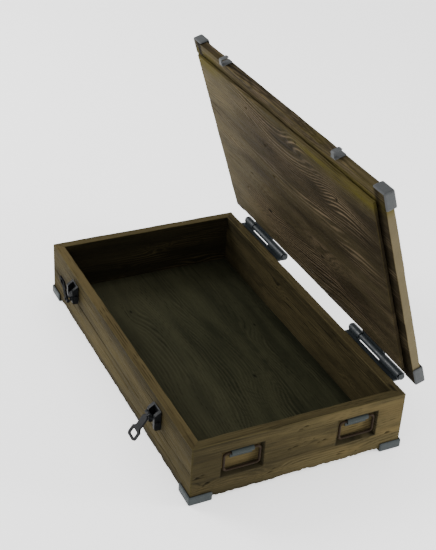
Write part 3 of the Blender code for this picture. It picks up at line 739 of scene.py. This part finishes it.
def gold_edge(point, normal):
    """Mossy yellow along the lid's front edge, on the panel's margin and the rim beside it."""
    x, y, z = point.T
    inner = normal[:, 2] < 0.3
    reach = 0.80 * ramp(x, 0, 45) + 0.70 * ramp(-x, 52, 74) + 0.22
    rim = ramp(-y, 46, 48) * (0.4 + 0.6 * noise(x / 9, y / 1.5, 19))
    band = np.exp(-(((y + 44.6) / 3.4) ** 2)) + 0.35 * rim
    patch = 0.75 + 0.35 * layers(x / 18, y / 1.6, 451, 2)
    return np.clip(inner * reach * band * patch, 0, 0.9)


def worm_holes(point, normal):
    """Small holes in the panel's inner face."""
    x, y, z = point.T
    side = np.clip(-normal[:, 2], 0, 1)
    hole = np.zeros(len(x))
    for hx, hy in ((-19, -23), (-17, -6), (-58, 23), (-33, -38), (-47, 8)):
        hole = np.maximum(hole, np.exp(-(((x - hx) / 0.9) ** 2 + ((y - hy) / 0.6) ** 2)))
    return side * 1.1 * ramp(hole, 0.2, 0.8)


def step_pale_and_painted_light(point, normal):
    """The panel's front edge is pale towards the near end, and painted light makes its face pale
    at the far end.
    """
    x, y, z = point.T
    inner = ramp(-normal[:, 2], 0.5, 0.9)
    face = inner * 0.46 * ramp(-x, 22, 82) * (0.75 + 0.4 * layers(x / 22, y / 6, 461, 2))
    edge = ramp(-normal[:, 1], 0.6, 0.95) * (0.25 + 0.2 * ramp(x, 0, 60))
    return np.clip(np.maximum(edge, face), 0, 1)


board(
    "lid_panel_wood", "lid_inner_panel", "lid", "xyz", 59,
    knots=((-34, 24, 10, -6), (18, -44, 6, 3), (50, -30, 7, 3), (21, 20, 8, 4)),
    wave=7.0, relief=0.34, shade=lid_shade, carve=worm_holes, pale_and_painted_light=step_pale_and_painted_light, gold=gold_edge,
    material=lid_wood, step=(0.9, 0.40), stretch=110, wide=5.0, fine=1.5, cuts=0.55, bands=0.15,
    swirls=(
        (-36, 30, 14, 1.3), (18, -43, 6, 0.7), (50, -30, 7, 0.8), (21, 24, 12, 0.9),
        (-14, -36, 5, 0.6),
    ),
)
board(
    "lid_board_wood", "lid_board", "lid", "xyz", 61,
    knots=((-40, 10, 9, 7), (30, -22, 8, -7), (64, 30, 6, 5), (-70, -30, 6, 5)),
    wave=6.0, relief=0.22, shade=rim_shade, pale_and_painted_light=end_pale_and_painted_light, gold=gold_edge, material=lid_wood,
    wide=5.0, fine=1.5,
)

# ---------------------------------------------------------------- floor, light and camera


def plain_floor():
    """A white floor that reaches past the picture's edges."""
    mesh = bpy.data.meshes.new("studio_floor")
    form = bmesh.new()
    bmesh.ops.create_grid(form, x_segments=1, y_segments=1, size=6.0)
    form.to_mesh(mesh)
    form.free()
    floor = bpy.data.objects.new("studio_floor", mesh)
    bpy.context.scene.collection.objects.link(floor)
    floor.location.z = cad_box[0].z
    n = Nodes("studio_white")
    n.shader.inputs["Emission Color"].default_value = (1, 1, 1, 1)
    n.shader.inputs["Emission Strength"].default_value = 1.0
    mesh.materials.append(n.finish((0.93, 0.93, 0.93), 0.9))


def area_light(name, location, target, size, power):
    data = bpy.data.lights.new(name, "AREA")
    data.shape = "DISK"
    data.size = size
    data.energy = power
    lamp = bpy.data.objects.new(name, data)
    bpy.context.scene.collection.objects.link(lamp)
    lamp.location = location
    aim = Vector(target) - Vector(location)
    lamp.rotation_euler = aim.to_track_quat("-Z", "Y").to_euler()


plain_floor()
world = bpy.context.scene.world or bpy.data.worlds.new("studio")
bpy.context.scene.world = world
world.use_nodes = True
background = world.node_tree.nodes["Background"]
background.inputs["Color"].default_value = (1, 1, 1, 1)
background.inputs["Strength"].default_value = 1.2
area_light("key", (-0.55, -0.50, 0.45), (-0.04, 0.0, 0.04), 0.40, 6.1)
area_light("side", (0.34, 0.42, 0.14), (0.09, 0.045, 0.01), 0.16, 1.9)

camera_data = bpy.data.cameras.new("camera")
camera_data.sensor_width = 36.0
camera_data.lens = 75.68
camera_data.clip_start = 0.01
camera_data.clip_end = 20.0
camera = bpy.data.objects.new("camera", camera_data)
bpy.context.scene.collection.objects.link(camera)
camera.location = (0.41976, -0.21467, 0.34060)
camera.rotation_euler = Euler((1.0183, -0.0530, 1.1299), "XYZ")
bpy.context.scene.camera = camera
